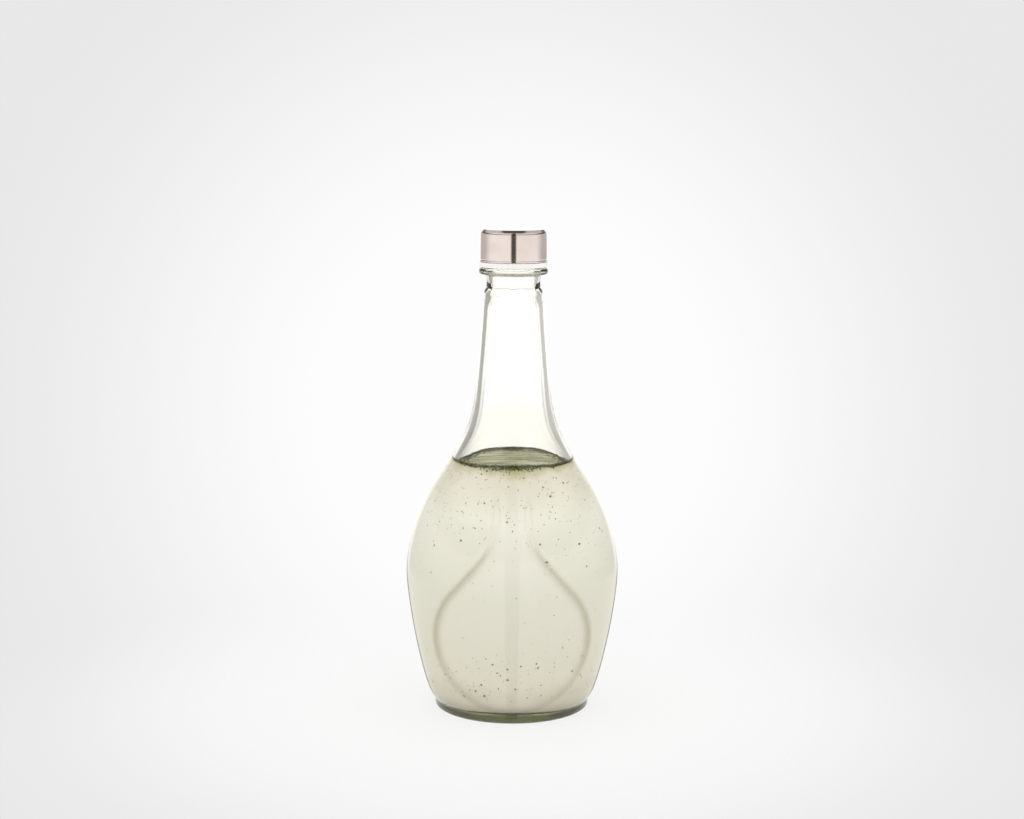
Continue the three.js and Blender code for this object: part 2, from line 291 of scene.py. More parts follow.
class Graph:
    """A node tree with helpers that each add one node and return its output."""

    def __init__(self, tree):
        self.nodes = tree.nodes
        self.links = tree.links

    def maths(self, operation, a, b=None):
        node = self.nodes.new("ShaderNodeMath")
        node.operation = operation
        for socket, value in zip(node.inputs, (a, b)):
            if isinstance(value, (int, float)):
                socket.default_value = value
            elif value is not None:
                self.links.new(value, socket)
        return node.outputs[0]

    def ranged(self, value, low, high, to_low, to_high, kind="LINEAR"):
        node = self.nodes.new("ShaderNodeMapRange")
        node.interpolation_type = kind
        names = "From Min", "From Max", "To Min", "To Max"
        for name, number in zip(names, (low, high, to_low, to_high)):
            node.inputs[name].default_value = number
        self.links.new(value, node.inputs["Value"])
        return node.outputs["Result"]

    def stepped(self, value, low, high, to_low, to_high):
        return self.ranged(value, low, high, to_low, to_high, "SMOOTHSTEP")

    def mixed_shader(self, factor, first, second):
        node = self.nodes.new("ShaderNodeMixShader")
        self.links.new(factor, node.inputs["Fac"])
        self.links.new(first, node.inputs[1])
        self.links.new(second, node.inputs[2])
        return node.outputs[0]

    def light_path(self):
        return self.nodes.new("ShaderNodeLightPath").outputs

    def axes(self, vector):
        node = self.nodes.new("ShaderNodeSeparateXYZ")
        self.links.new(vector, node.inputs[0])
        return node.outputs


class Look(Graph):
    """A material built round one Principled shader, with helpers for its procedural detail."""

    def __init__(self, name, **sockets):
        self.material = bpy.data.materials.new(name)
        self.material.use_nodes = True
        super().__init__(self.material.node_tree)
        self.shader = self.nodes["Principled BSDF"]
        self.output = self.nodes["Material Output"]
        self.place = self.nodes.new("ShaderNodeTexCoord").outputs["Object"]
        for socket, value in sockets.items():
            self.shader.inputs[socket.replace("_", " ")].default_value = value

    def stretched(self, scale):
        mapping = self.nodes.new("ShaderNodeMapping")
        mapping.inputs["Scale"].default_value = scale
        self.links.new(self.place, mapping.inputs["Vector"])
        return mapping.outputs["Vector"]

    def noise(self, scale, detail=3.0, roughness=0.5, where=None):
        node = self.nodes.new("ShaderNodeTexNoise")
        node.inputs["Scale"].default_value = scale
        node.inputs["Detail"].default_value = detail
        node.inputs["Roughness"].default_value = roughness
        self.links.new(where or self.place, node.inputs["Vector"])
        return node.outputs["Fac"]

    # Noise keeps mostly between 0.3 and 0.7, so that is the part that is spread over a range.
    def spread(self, noise, to_low, to_high):
        return self.ranged(noise, 0.3, 0.7, to_low, to_high)

    def blended(self, factor, stops):
        node = self.nodes.new("ShaderNodeValToRGB")
        ramp = node.color_ramp
        while len(ramp.elements) < len(stops):
            ramp.elements.new(0.5)
        for element, (position, value) in zip(ramp.elements, stops):
            element.position = position
            element.color = value
        self.links.new(factor, node.inputs["Fac"])
        return node.outputs["Color"]

    def mixed_colour(self, factor, first, second):
        node = self.nodes.new("ShaderNodeMix")
        node.data_type = "RGBA"
        for socket, value in zip((node.inputs[0], node.inputs[6], node.inputs[7]), (factor, first, second)):
            self.links.new(value, socket)
        return node.outputs[2]

    def set(self, socket, value):
        self.links.new(value, self.shader.inputs[socket])

    def bump(self, height, strength, distance):
        node = self.nodes.new("ShaderNodeBump")
        node.inputs["Strength"].default_value = strength
        node.inputs["Distance"].default_value = distance
        self.links.new(height, node.inputs["Height"])
        self.set("Normal", node.outputs["Normal"])

    # Light that the drink scatters leaves the glass straight, as it would after many turns inside the wall.
    def let_light_out(self):
        path = self.light_path()
        straight = self.maths("MAXIMUM", path["Is Shadow Ray"], path["Is Diffuse Ray"])
        clear = self.nodes.new("ShaderNodeBsdfTransparent")
        surface = self.mixed_shader(straight, self.shader.outputs[0], clear.outputs[0])
        self.links.new(surface, self.output.inputs["Surface"])

    def absorb(self, tint, density):
        node = self.nodes.new("ShaderNodeVolumeAbsorption")
        node.inputs["Color"].default_value = tint
        node.inputs["Density"].default_value = density
        self.links.new(node.outputs["Volume"], self.output.inputs["Volume"])


WHITE_LIGHT = (1, 1, 1, 1)
GLASS_IOR, DRINK_IOR = 1.52, 1.34
GLASS_TINT, GLASS_DENSITY = (0.745, 0.75, 0.58, 1), 50.0
# Painted shade: the tints of the panels' borders and of the base stand in for light that the glass bends away
# there.
PAINTED_BORDER_SHADE, PAINTED_BASE_SHADE = (0.5, 0.48, 0.37, 1), (0.21, 0.21, 0.165, 1)
GLASS_ROUGHNESS = 0.0, 0.03


# The wall that the drink wets bends light only as much as glass against drink does.
def wetted_look():
    look = Look("wetted_glass", Base_Color=WHITE_LIGHT, IOR=GLASS_IOR / DRINK_IOR, Transmission_Weight=1.0)
    look.set("Roughness", look.spread(look.noise(900, 2.0), *GLASS_ROUGHNESS))
    look.let_light_out()
    return look.material


# Clear glass with faint waves, a mould seam on either side, and painted shade along the panels' borders and
# over the base.
def glass_look():
    look = Look("clear_glass", Base_Color=WHITE_LIGHT, IOR=GLASS_IOR, Transmission_Weight=1.0)
    ripple = look.noise(45, 2.0)
    grain = look.noise(900, 2.0)
    _, y, _ = look.axes(look.place)
    seam = look.ranged(look.maths("ABSOLUTE", y), 0.0002, 0.0005, 1.0, 0.0)
    waves = look.maths("ADD", look.maths("MULTIPLY", grain, 0.02), ripple)
    look.bump(look.maths("ADD", waves, look.maths("MULTIPLY", seam, 0.3)), 0.12, 0.0004)
    look.set("Roughness", look.spread(grain, *GLASS_ROUGHNESS))
    # The attribute carries the painted shade of the borders and the base.
    painted_shade = look.nodes.new("ShaderNodeAttribute")
    painted_shade.attribute_name = "painted_glass_shade"
    tints = [(0.0, WHITE_LIGHT), (BORDER_SHADE, PAINTED_BORDER_SHADE), (1.0, PAINTED_BASE_SHADE)]
    look.set("Base Color", look.blended(painted_shade.outputs["Fac"], tints))
    look.absorb(GLASS_TINT, GLASS_DENSITY)
    look.let_light_out()
    return look.material


# Pale drink, with painted shade darkening it towards the floor, lighter higher up, and more olive under the
# middle of its surface.
def drink_look():
    look = Look("cloudy_drink", IOR=DRINK_IOR, Specular_IOR_Level=0.2)
    x, _, z = look.axes(look.place)
    cloud = look.noise(120, 4.0, 0.6)
    streak = look.noise(1.0, 3.0, 0.6, look.stretched((60, 190, 60)))
    middle_shift = look.ranged(look.maths("ABSOLUTE", x), 0.004, 0.015, 0.004, -0.018)
    height = look.ranged(z, 0.0, LEVEL * MM, 0.0, 1.0)
    height = look.maths("ADD", height, look.spread(cloud, -0.011, 0.011))
    height = look.maths("ADD", height, middle_shift)
    # The lowest stops are painted shade near the floor, where less light reaches the drink.
    stops = [
        (0.04, colour(208, 203, 184)),
        (0.16, colour(231, 226, 210)),
        (0.5, colour(233, 230, 216)),
        (0.8, colour(249, 246, 235)),
        (0.955, colour(238, 233, 217)),
        (0.995, colour(192, 185, 138)),
    ]
    body = look.blended(height, stops)
    skim = look.blended(streak, [(0.4, colour(128, 126, 84)), (0.66, colour(206, 202, 168))])
    top = look.ranged(z, (LEVEL - 0.2) * MM, (LEVEL - 0.05) * MM, 0.0, 1.0)
    look.set("Base Color", look.mixed_colour(top, body, skim))
    look.set("Roughness", look.spread(cloud, 0.42, 0.56))
    look.bump(streak, 0.2, 0.0003)
    return look.material


def herb_look(name, dark, mid, light):
    look = Look(name, Specular_IOR_Level=0.35)
    vein = look.noise(1500, 4.0, 0.65)
    look.set("Base Color", look.blended(vein, [(0.32, dark), (0.55, mid), (0.74, light)]))
    look.set("Roughness", look.spread(vein, 0.45, 0.8))
    look.bump(look.noise(2600, 3.0), 0.5, 0.0002)
    return look.material


def plastic_look(name, tone, shade, roughness):
    look = Look(name, Subsurface_Weight=0.08, Specular_IOR_Level=0.45)
    look.shader.inputs["Subsurface Radius"].default_value = (0.0012, 0.001, 0.0008)
    cloud = look.noise(260, 3.0)
    grain = look.noise(2400, 3.0)
    look.set("Base Color", look.blended(cloud, [(0.3, shade), (0.7, tone)]))
    look.set("Roughness", look.spread(grain, roughness - 0.07, roughness + 0.07))
    look.bump(grain, 0.15, 0.0001)
    return look.material


# Spun metal: the brushing runs round the cap.
def metal_look():
    look = Look("warm_silver", Metallic=1.0)
    brushed = look.noise(1.0, 4.0, 0.7, look.stretched((240, 240, 5200)))
    fine = look.noise(3200, 3.0)
    cloud = look.noise(110, 2.0)
    tone, shade = colour(240, 228, 224), colour(228, 215, 211)
    look.set("Base Color", look.blended(cloud, [(0.3, shade), (0.7, tone)]))
    grain = look.maths("ADD", look.maths("MULTIPLY", brushed, 0.6), look.maths("MULTIPLY", fine, 0.4))
    look.set("Roughness", look.spread(grain, 0.08, 0.15))
    look.bump(grain, 0.08, 0.0001)
    return look.material


GLASS = glass_look()
WETTED = wetted_look()
DRINK = drink_look()
HERB_RING = herb_look("floating_herb", colour(44, 41, 11), colour(86, 82, 36), colour(134, 128, 76))
HERB_FLECK = herb_look("herb_fleck", colour(104, 93, 57), colour(147, 133, 93), colour(182, 166, 126))
WHITE = plastic_look("white_plastic", colour(253, 250, 247), colour(248, 244, 240), 0.4)
FOAM = plastic_look("liner_foam", colour(247, 246, 242), colour(236, 235, 230), 0.75)
METAL = metal_look()


# Glass bottle


# Right half of the drop, from its lowest point up to the top of its tail.
def drop_outline():
    round_part = arc((0, DROP_HEIGHT), DROP_RADIUS, -90, math.degrees(DROP_FLANK), 60)
    flank = round_part[-1]
    run = (flank[0] - TAIL_RADIUS) / math.sin(DROP_FLANK)
    knee = flank[1] + run * math.cos(DROP_FLANK)
    tail = rounded([flank, (TAIL_RADIUS, knee), (TAIL_RADIUS, TAIL_TOP)], TAIL_BEND, 12)
    return np.vstack([(0, DROP_HEIGHT - DROP_RADIUS), round_part[1:-1], tail])


DROP = drop_outline()


# Distance to the drop's outline, less than zero inside it.
def distance_to_drop(x, z):
    x = np.abs(x)
    best = np.full(x.shape, np.inf)
    for a, b in zip(DROP, DROP[1:]):
        along = b - a
        t = np.clip(((x - a[0]) * along[0] + (z - a[1]) * along[1]) / (along @ along), 0, 1)
        best = np.minimum(best, np.hypot(x - a[0] - t * along[0], z - a[1] - t * along[1]))
    inside = (x < np.interp(z, DROP[:, 1], DROP[:, 0])) & (z > DROP[0, 1]) & (z < TAIL_TOP)
    return np.where(inside, -best, best)


def thread_height(angle, z, low, depth):
    turn = (z - low) / PITCH
    best = np.zeros(np.shape(z))
    for lap in range(int(THREAD_TURNS) + 2):
        along = angle / (2 * math.pi) + lap
        off = np.abs((turn - along) * PITCH)
        ends = smooth(along, 0, THREAD_FADE) * (1 - smooth(along, THREAD_TURNS - THREAD_FADE, THREAD_TURNS))
        best = np.maximum(best, depth * ends * (1 - smooth(off, THREAD_CREST * THREAD_HALF, THREAD_HALF)))
    return best


def push_up(low, steps):
    half = BEARING_INNER / 2
    return bezier([(0, low + PUNT), (half, low + PUNT), (half, low), (BEARING_INNER, low)], steps)


# The inside, from the middle of the floor up to the top of the hollow.
def inside_rows():
    foot = (radius_at(FOOT) - WALL, FOOT)
    dome = push_up(FLOOR, 14)
    t = np.linspace(0, 1, 12)[1:, None]
    corner = np.array((foot[0] - 1, FLOOR))
    heel = (1 - t) ** 2 * dome[-1] + 2 * t * (1 - t) * corner + t * t * np.array(foot)
    z = np.concatenate([np.linspace(FOOT, RIM, 40)[1:], np.linspace(RIM, HOLLOW_TOP, 24)[1:]])
    wall = np.column_stack([wall_at(z), z, power_at(z)])
    return np.vstack([with_power(dome), with_power(heel), wall])


INSIDE = inside_rows()


# Finish above the bead, with the ring that locks the tamper band.
def finish_rows(start):
    lock = shell_low[2]
    thread_from = lock + LOCK_HEIGHT
    ring = FINISH_RADIUS + LOCK_DEPTH
    low = rounded(
        [
            start,
            (FINISH_RADIUS, start[1]),
            (FINISH_RADIUS, lock),
            (ring, lock + 0.2 * LOCK_HEIGHT),
            (ring, lock + 0.5 * LOCK_HEIGHT),
            (FINISH_RADIUS, thread_from),
            (FINISH_RADIUS, thread_from + 0.6),
        ],
        0.4,
        4,
    )[1:-1]
    heights = np.linspace(thread_from + 0.35, LIP_TOP - LIP_ROUND, 34)
    threaded = np.column_stack([np.full(34, FINISH_RADIUS), heights])
    lip_outer = arc((FINISH_RADIUS - LIP_ROUND, LIP_TOP - LIP_ROUND), LIP_ROUND, 0, 90, 6)[1:]
    lip_inner = arc((BORE_RADIUS + LIP_ROUND, LIP_TOP - LIP_ROUND), LIP_ROUND, 90, 180, 6)
    return np.vstack([low, threaded, lip_outer, lip_inner])


# The whole glass, from under the base up the outside, over the lip and down the inside.
def glass_rows():
    bearing = np.column_stack([np.linspace(BEARING_INNER, BEARING_OUTER, 9)[1:], np.zeros(8)])
    edge = arc((BEARING_OUTER, HEEL_ROUND), HEEL_ROUND, -90, 0, 7)[1:]
    corners = [edge[-1], (HEEL_RADIUS, HEEL_HEIGHT), (radius_at(CREASE_TOP), CREASE_TOP)]
    crease = rounded(corners, CREASE_ROUND)[1:-1]
    neck_from, neck_to = TAIL_TOP + 1, NECK_TOP - LEDGE_ROUND - 0.2
    z = np.concatenate([np.linspace(CREASE_TOP, neck_from, 94), np.linspace(neck_from, neck_to, 38)[1:]])
    body = np.column_stack([radius_at(z), z, power_at(z)])
    s = np.linspace(0, 1, 14)
    ease = smooth(s, 0, 1)
    ledge = np.column_stack(
        [
            NECK_RADIUS + (COLLAR_RADIUS - NECK_RADIUS) * ease,
            NECK_TOP - LEDGE_ROUND + (LEDGE + LEDGE_ROUND) * s**LEDGE_EASE,
            NECK_POWER + (2 - NECK_POWER) * ease,
        ]
    )
    bead_round = BEAD_HEIGHT / 2
    bead = arc((BEAD_RADIUS - bead_round, COLLAR_TOP + bead_round), bead_round, -90, 90, 13)
    corners = [(COLLAR_RADIUS, COLLAR_BOTTOM + 1), (COLLAR_RADIUS, COLLAR_TOP), bead[0]]
    collar = rounded(corners, CREASE_ROUND)[:-1]
    top = INSIDE[-1]
    s = np.linspace(0, 1, 16)[:-1]
    ease = smooth(s, 0, 1)
    bore = np.column_stack(
        [
            BORE_RADIUS + (top[0] - BORE_RADIUS) * ease,
            BORE_LOW + (top[1] - BORE_LOW) * s,
            2 + (top[2] - 2) * ease,
        ]
    )
    return np.vstack(
        [
            with_power(np.vstack([push_up(0, 12), bearing, edge, crease])),
            body,
            ledge,
            with_power(np.vstack([collar, bead, finish_rows(bead[-1])])),
            bore,
            INSIDE[::-1],
        ]
    )


# Presses the panels into the outside, and adds thread, corners and knurl.
def mould(reach, angle, z):
    outside = np.arange(len(z)) < np.argmax(z[:, 0]) + 1
    outside = outside[:, None]
    fade = 1 - smooth(z, TAIL_TOP - TAIL_FADE, TAIL_TOP - 2)
    half = PANEL_EDGE / 2 + (FOOT_EDGE - PANEL_EDGE) / 2 * (1 - smooth(z, *FOOT_FADE))
    panel = PANEL_DEPTH * fade * (1 - smooth(distance_to_drop(reach * np.cos(angle), z) / half, -1, 1))
    on_body = outside & (z > HEEL_HEIGHT) & (z < TAIL_TOP)
    thread = thread_height(angle, z, THREAD_LOW, THREAD_DEPTH)
    on_finish = outside & (z > shell_low[2] + LOCK_HEIGHT)
    reach = reach - np.where(on_body, panel, 0) + np.where(on_finish, thread, 0)
    # The neck's four corners slope up to the round collar, where its flat sides end in a ledge.
    edge = NECK_TOP - LEDGE_ROUND
    slope = smooth(z, edge - CORNER_REACH, edge) * (1 - smooth(z, edge, COLLAR_BOTTOM))
    drop = np.where(outside, CORNER_DROP * np.sin(2 * angle) ** 2 * slope, 0)
    stand = outside & (z < NEAR) & (reach > KNURL_INNER) & (reach < KNURL_OUTER)
    knurl = KNURL * (0.5 + 0.5 * np.cos(SIDES // 4 * angle))
    return reach, z - drop + np.where(stand, knurl, 0)


# Painted shade on the glass: a dark line along the borders of the panels, most on their flanks, and a dark
# band over the thick base, both standing in for light that the glass bends away.
def painted_glass_shade(points):
    x, y, z = points.T
    outside = np.hypot(x, y) > radius_at(z) - PANEL_DEPTH - 0.5
    off = distance_to_drop(x, z)
    line = np.exp(-((off / np.where(off > 0, BORDER_OUTSIDE, BORDER_INSIDE)) ** 2))
    flank = (FOOT_SHADE + (1 - FOOT_SHADE) * smooth(z, *BORDER_GROWS)) * (1 - smooth(z, *BORDER_FADES))
    line = np.where(outside & (z > HEEL_HEIGHT) & (z < TAIL_TOP), BORDER_SHADE * line * flank, 0)
    # Painted shade: a dark band over the base, up to the top of the heel.
    return np.maximum(line, 1 - smooth(z, HEEL_HEIGHT - 0.8, HEEL_HEIGHT + 0.5))


rows = glass_rows()
vertices, faces = skin(rows, SIDES, mould)
glass = mesh_object("bottle_glass", vertices, faces, GLASS, "bottle", "glass_bottle")
# Painted shade of the panels' borders and the base, kept on the glass's points.
painted_shade = glass.data.attributes.new("painted_glass_shade", "FLOAT", "POINT")
painted_shade.data.foreach_set("value", painted_glass_shade(vertices))
glass.data.materials.append(WETTED)
inside_from = 1 + SIDES * (len(rows) - 2 - len(INSIDE))
for face in glass.data.polygons:
    wetted = all(i >= inside_from and vertices[i][2] < RIM + NEAR for i in face.vertices)
    face.material_index = int(wetted)


# Drink


def drink_rows():
    side = INSIDE[INSIDE[:, 1] < RIM - 0.8].copy()
    on_floor = (side[:, 0] < BEARING_INNER + NEAR) & (side[:, 1] < FLOOR + PUNT + NEAR)
    side[:, 1] += np.where(on_floor, DRINK_GAP, 0)
    side[:, 0] -= np.where(on_floor, 0, DRINK_GAP)
    rim = wall_at(RIM) - DRINK_GAP
    s = np.linspace(0, 1, 9)
    curl = np.column_stack([rim - MENISCUS_WIDTH * s, LEVEL + MENISCUS * (1 - s) ** MENISCUS_POWER])
    flat = np.column_stack([np.linspace(rim - MENISCUS_WIDTH, 0, 9)[1:], np.full(8, LEVEL)])
    top = with_power(np.vstack([curl, flat]))
    top[:, 2] += (power_at(RIM) - 2) * top[:, 0] / rim
    return np.vstack([side, top])


vertices, faces = skin(drink_rows(), DRINK_SIDES)
mesh_object("drink_body", vertices, faces, DRINK, "bottle", "drink")


# Herbs: small bent flakes, each a closed thin body

FLAKE_CORNERS, FLAKE_THICKNESS = 7, 0.12
DRIFT_THICKNESS, LOOSE_THICKNESS, LOOSE_SLIM = 0.16, 0.14, 0.6
LEAF_SLIM, FLECK_SLIM, BIT_SLIM = (0.4, 0.8), (0.5, 0.95), (0.4, 0.9)
UP = np.array([0, 0, 1])

# How many flakes float: on the wall, on the curled edge, stranded above it, hanging at the middle of the
# front and back, drifting inwards, and loose on the flat surface
ON_WALL, ON_CURL, STRANDED, HANGING, DRIFTING, LOOSE = 2100, 1600, 420, 340, 260, 90

# How many flecks show at the wall: under the surface, anywhere, near the floor, and large ones
UNDER_SURFACE, ANYWHERE, NEAR_FLOOR, LARGE = 640, 250, 330, 14


# A flake round its centre: slim is its width over its length.
def flake(centre, normal, size, slim, thickness=FLAKE_THICKNESS):
    normal = normal / np.linalg.norm(normal)
    side = np.cross(normal, rng.normal(size=3))
    side /= np.linalg.norm(side)
    other = np.cross(normal, side)
    corners = FLAKE_CORNERS
    a = np.arange(corners) * 2 * math.pi / corners + rng.uniform(0, 1)
    reach = rng.uniform(0.62, 1.05, corners)
    u, v = size / 2 * reach * np.cos(a), size / 2 * slim * reach * np.sin(a)
    lift = rng.uniform(-0.25, 0.25) * u * u / size + rng.uniform(-0.04, 0.04, corners) * size
    edge = centre + np.outer(u, side) + np.outer(v, other) + np.outer(lift, normal)
    half = thickness / 2 * normal
    points = np.vstack([centre + half, edge + 0.5 * half, edge - 0.5 * half, centre - half])
    faces = []
    for i in range(corners):
        j = (i + 1) % corners
        faces.append((0, 1 + i, 1 + j))
        faces.append((1 + i, 1 + corners + i, 1 + corners + j, 1 + j))
        faces.append((1 + 2 * corners, 1 + corners + j, 1 + corners + i))
    return points, faces


def heap(flakes):
    vertices, faces, start = [], [], 0
    for points, sides in flakes:
        vertices.append(points)
        faces += [tuple(start + k for k in side) for side in sides]
        start += len(points)
    return np.vstack(vertices), faces


def any_angle():
    return rng.uniform(0, 2 * math.pi)


# A flake that clings to the inside of the glass, its middle just off the wall.
def clinging(a, z, size, slim):
    slope = (wall_at(z + 1) - wall_at(z - 1)) / 2
    out = np.array([math.cos(a), math.sin(a), -slope])
    r = reach_at(a, z) - DRINK_GAP / 2
    centre = np.array([r * math.cos(a), r * math.sin(a), z])
    return flake(centre, out / np.linalg.norm(out) + rng.normal(0, 0.12, 3), size, slim)


# A point just over the curled edge of the drink's surface, and the way up from it.
def on_meniscus(a, inward, clear):
    left = max(0.0, 1 - inward / MENISCUS_WIDTH)
    rise = MENISCUS * left**MENISCUS_POWER
    slope = MENISCUS_POWER * MENISCUS / MENISCUS_WIDTH * left ** (MENISCUS_POWER - 1)
    r = reach_at(a, RIM) - DRINK_GAP - inward
    out = np.array([math.cos(a), math.sin(a), 0])
    return r * out + (0, 0, LEVEL + rise + clear), UP - slope * out


def floating():
    made = []
    for _ in range(ON_WALL):
        a = any_angle()
        lumps = 0.5 + 0.2 * math.sin(5 * a + 1) + 0.15 * math.sin(11 * a) + 0.15 * math.sin(29 * a)
        wave = 0.16 * math.sin(4 * a + 0.7) + 0.12 * math.sin(9 * a) + 0.08 * math.sin(23 * a)
        z = LEVEL + 0.5 + wave + rng.normal(0, 0.1 + 0.26 * lumps)
        made.append(clinging(a, z, rng.uniform(0.35, 0.9), rng.uniform(*LEAF_SLIM)))
    for _ in range(ON_CURL):
        a = any_angle()
        spread = 0.3 + 0.4 * (1 + math.sin(3 * a + 2.4)) + 0.25 * math.sin(8 * a)
        point, up = on_meniscus(a, abs(rng.normal(0, abs(spread))), rng.uniform(0.04, 0.2))
        up = up + rng.normal(0, 0.2, 3)
        made.append(flake(point, up, rng.uniform(0.5, 1.3), rng.uniform(*LEAF_SLIM)))
    for _ in range(STRANDED):
        a = any_angle()
        z = RIM + abs(rng.normal(0, 0.25 + 0.2 * math.sin(3 * a) ** 2)) - 0.4
        made.append(clinging(a, z, rng.uniform(0.35, 1.0), rng.uniform(*LEAF_SLIM)))
    for _ in range(HANGING):
        a = rng.choice((-1, 1)) * math.pi / 2
        a += rng.normal(0, 0.3)
        z = LEVEL + 0.2 - abs(rng.normal(0, 0.7))
        made.append(clinging(a, z, rng.uniform(0.35, 1.1), rng.uniform(*LEAF_SLIM)))
    for _ in range(DRIFTING):
        inward = abs(rng.normal(0, 2.2)) + 0.5
        point, up = on_meniscus(any_angle(), inward, rng.uniform(0.02, 0.16))
        up = up + rng.normal(0, 0.25, 3)
        made.append(flake(point, up, rng.uniform(0.5, 1.6), rng.uniform(*LEAF_SLIM), DRIFT_THICKNESS))
    for _ in range(LOOSE):
        a = any_angle()
        r = (wall_at(LEVEL) - 4) * math.sqrt(rng.uniform(0, 1))
        centre = np.array([r * math.cos(a), r * math.sin(a), LEVEL + rng.normal(0.02, 0.06)])
        up = UP + rng.normal(0, 0.12, 3)
        made.append(flake(centre, up, rng.uniform(0.3, 1.1), LOOSE_SLIM, LOOSE_THICKNESS))
    return heap(made)


vertices, faces = floating()
mesh_object("herb_ring", vertices, faces, HERB_RING, "bottle", "floating_herbs")


def suspended():
    made = []
    for _ in range(UNDER_SURFACE):
        a, z = any_angle(), LEVEL - 2 - abs(rng.normal(0, 15))
        made.append(clinging(a, z, 0.3 + rng.exponential(0.18), rng.uniform(*FLECK_SLIM)))
    for _ in range(ANYWHERE):
        a, z = any_angle(), rng.uniform(FOOT, LEVEL - 8)
        made.append(clinging(a, z, 0.3 + rng.exponential(0.18), rng.uniform(*FLECK_SLIM)))
    for _ in range(NEAR_FLOOR):
        a, z = any_angle(), FOOT + abs(rng.normal(0, 12))
        made.append(clinging(a, z, 0.4 + rng.exponential(0.26), rng.uniform(*BIT_SLIM)))
    for _ in range(LARGE):
        a, z = any_angle(), rng.uniform(FOOT, LEVEL - 4)
        made.append(clinging(a, z, rng.uniform(1.0, 1.8), rng.uniform(0.3, 0.6)))
    return heap(made)


vertices, faces = suspended()
mesh_object("herb_flecks", vertices, faces, HERB_FLECK, "bottle", None)


# Closure


def band_section():
    outer = band_high[0]
    inner = FINISH_RADIUS + 0.5 * LOCK_DEPTH
    relief = inner + 0.5 * LOCK_DEPTH
    low, high = band_low[2], band_high[2]
    corners = [
        (relief, low),
        (outer, low),
        (outer, high),
        (inner, high),
        (inner, high - BAND_LIP),
        (relief, high - BAND_SLOPE),
    ]
    middle = (np.array(corners[0]) + np.array(corners[-1])) / 2
    return rounded([middle, *corners, middle], BAND_ROUND)[:-1]


# Raises the stubs of the broken bridges on the band's top edge.
def bridges(r, angle, z):
    outer = band_high[0]
    share = np.abs((angle * BRIDGES / (2 * math.pi) + 0.5) % 1 - 0.5)
    off = share * 2 * math.pi * outer / BRIDGES
    top = (z > band_high[2] - NEAR) & (r > outer - BRIDGE_DEPTH)
    stub = BRIDGE_HEIGHT * (1 - smooth(off, *BRIDGE_HALF))
    return r, z + np.where(top, stub, 0)


vertices, faces = ring_skin(band_section(), CAP_SIDES, bridges)
mesh_object("tamper_ring", vertices, faces, WHITE, "bottle", "tamper_band")


# Each corner is (radius, height, rounding): bevel, wall, shallow groove over the hem, hem, and the inside.
def shell_rows():
    top, bottom, rim = shell_high[2], shell_low[2], shell_high[0]
    wall = rim - CAP_DRAFT
    bevel = wall - CAP_BEVEL
    corners = [
        (bevel - 0.15, top, CAP_ROUND),
        (bevel, top, CAP_ROUND),
        (bevel + 0.1, top - 0.1, CAP_ROUND),
        (wall, top - CAP_BEVEL, BEVEL_ROUND),
        (rim - 0.03, bottom + 1.15, CAP_ROUND),
        (rim - 0.2, bottom + 0.85, CAP_ROUND),
        (rim, bottom + 0.55, CAP_ROUND),
        (rim, bottom, CAP_ROUND),
        (rim - HEM, bottom, CAP_ROUND),
        (rim - HEM, bottom + METAL_THICKNESS, CAP_ROUND),
        (rim - METAL_THICKNESS, bottom + METAL_THICKNESS, CAP_ROUND),
        (wall - METAL_THICKNESS, top - CAP_BEVEL - BEND_ALLOWANCE, 2 * CAP_ROUND),
        (bevel - BEND_ALLOWANCE, top - METAL_THICKNESS, CAP_ROUND),
    ]
    path = [(0.0, top), *(corner[:2] for corner in corners), (0.0, top - METAL_THICKNESS)]
    return with_power(rounded(path, [corner[2] for corner in corners], 7))[::-1]


vertices, faces = skin(shell_rows(), CAP_SIDES)
mesh_object("cap_metal", vertices, faces, METAL, "cap", "cap_shell")


def inner_rows():
    top, bottom, wall = inner_high[2], inner_low[2], inner_high[0]
    inside = top - CAP_TOP
    bore = np.column_stack([np.full(40, CAP_BORE), np.linspace(inside - 0.4, bottom + 0.4, 40)])
    roof = rounded([(0, inside), (CAP_BORE, inside), bore[0]], CAP_ROUND)[:-1]
    corners = [
        bore[-1],
        (CAP_BORE, bottom),
        (wall, bottom),
        (wall - CAP_DRAFT, top - CAP_BEVEL),
        (wall - CAP_DRAFT - CAP_BEVEL, top),
        (0, top),
    ]
    return with_power(np.vstack([roof, bore, rounded(corners, CAP_ROUND)[1:]]))


def inner_thread(reach, angle, z):
    on_bore = np.abs(reach - CAP_BORE) < NEAR
    ridge = thread_height(angle, z, THREAD_LOW - PITCH / 2, CAP_THREAD_DEPTH)
    return reach - np.where(on_bore, ridge, 0), z


vertices, faces = skin(inner_rows(), CAP_SIDES, inner_thread)
mesh_object("cap_plastic", vertices, faces, WHITE, "cap", "inner_cap")


# A disc with ring-shaped waves on its underside.
def liner_rows():
    low, high, radius = liner_low[2], liner_high[2], liner_high[0]
    r = np.linspace(0, radius - LINER_EDGE, 40)
    waves = np.column_stack([r, low + LINER_WAVE * (0.5 + 0.5 * np.cos(2 * math.pi * r / LINER_PITCH))])
    edge = rounded([waves[-1], (radius, low), (radius, high), (0.0, high)], CAP_ROUND)[1:]
    return with_power(np.vstack([waves, edge]))


vertices, faces = skin(liner_rows(), CAP_SIDES)
mesh_object("cap_liner", vertices, faces, FOAM, "liner", "sealing_liner")


# Stage: pale floor that fades into the backdrop, soft surrounding light

# Brightness of the set as metal and glass see it; the sides are given as (left, right)
BACKDROP, SOFTBOX, CEILING, DARK_PANEL, SLOT = 1.22, 1.0, 0.6, 0.11, 0.07
GLASS_SIDES, METAL_SIDES = (0.42, 0.6), (0.61, 0.56)
TABLE, FAR_TABLE = 1.0, 0.08
WALL_TOP_SHADE = 0.78
WARM_LIGHT = (1, 0.985, 0.955, 1)

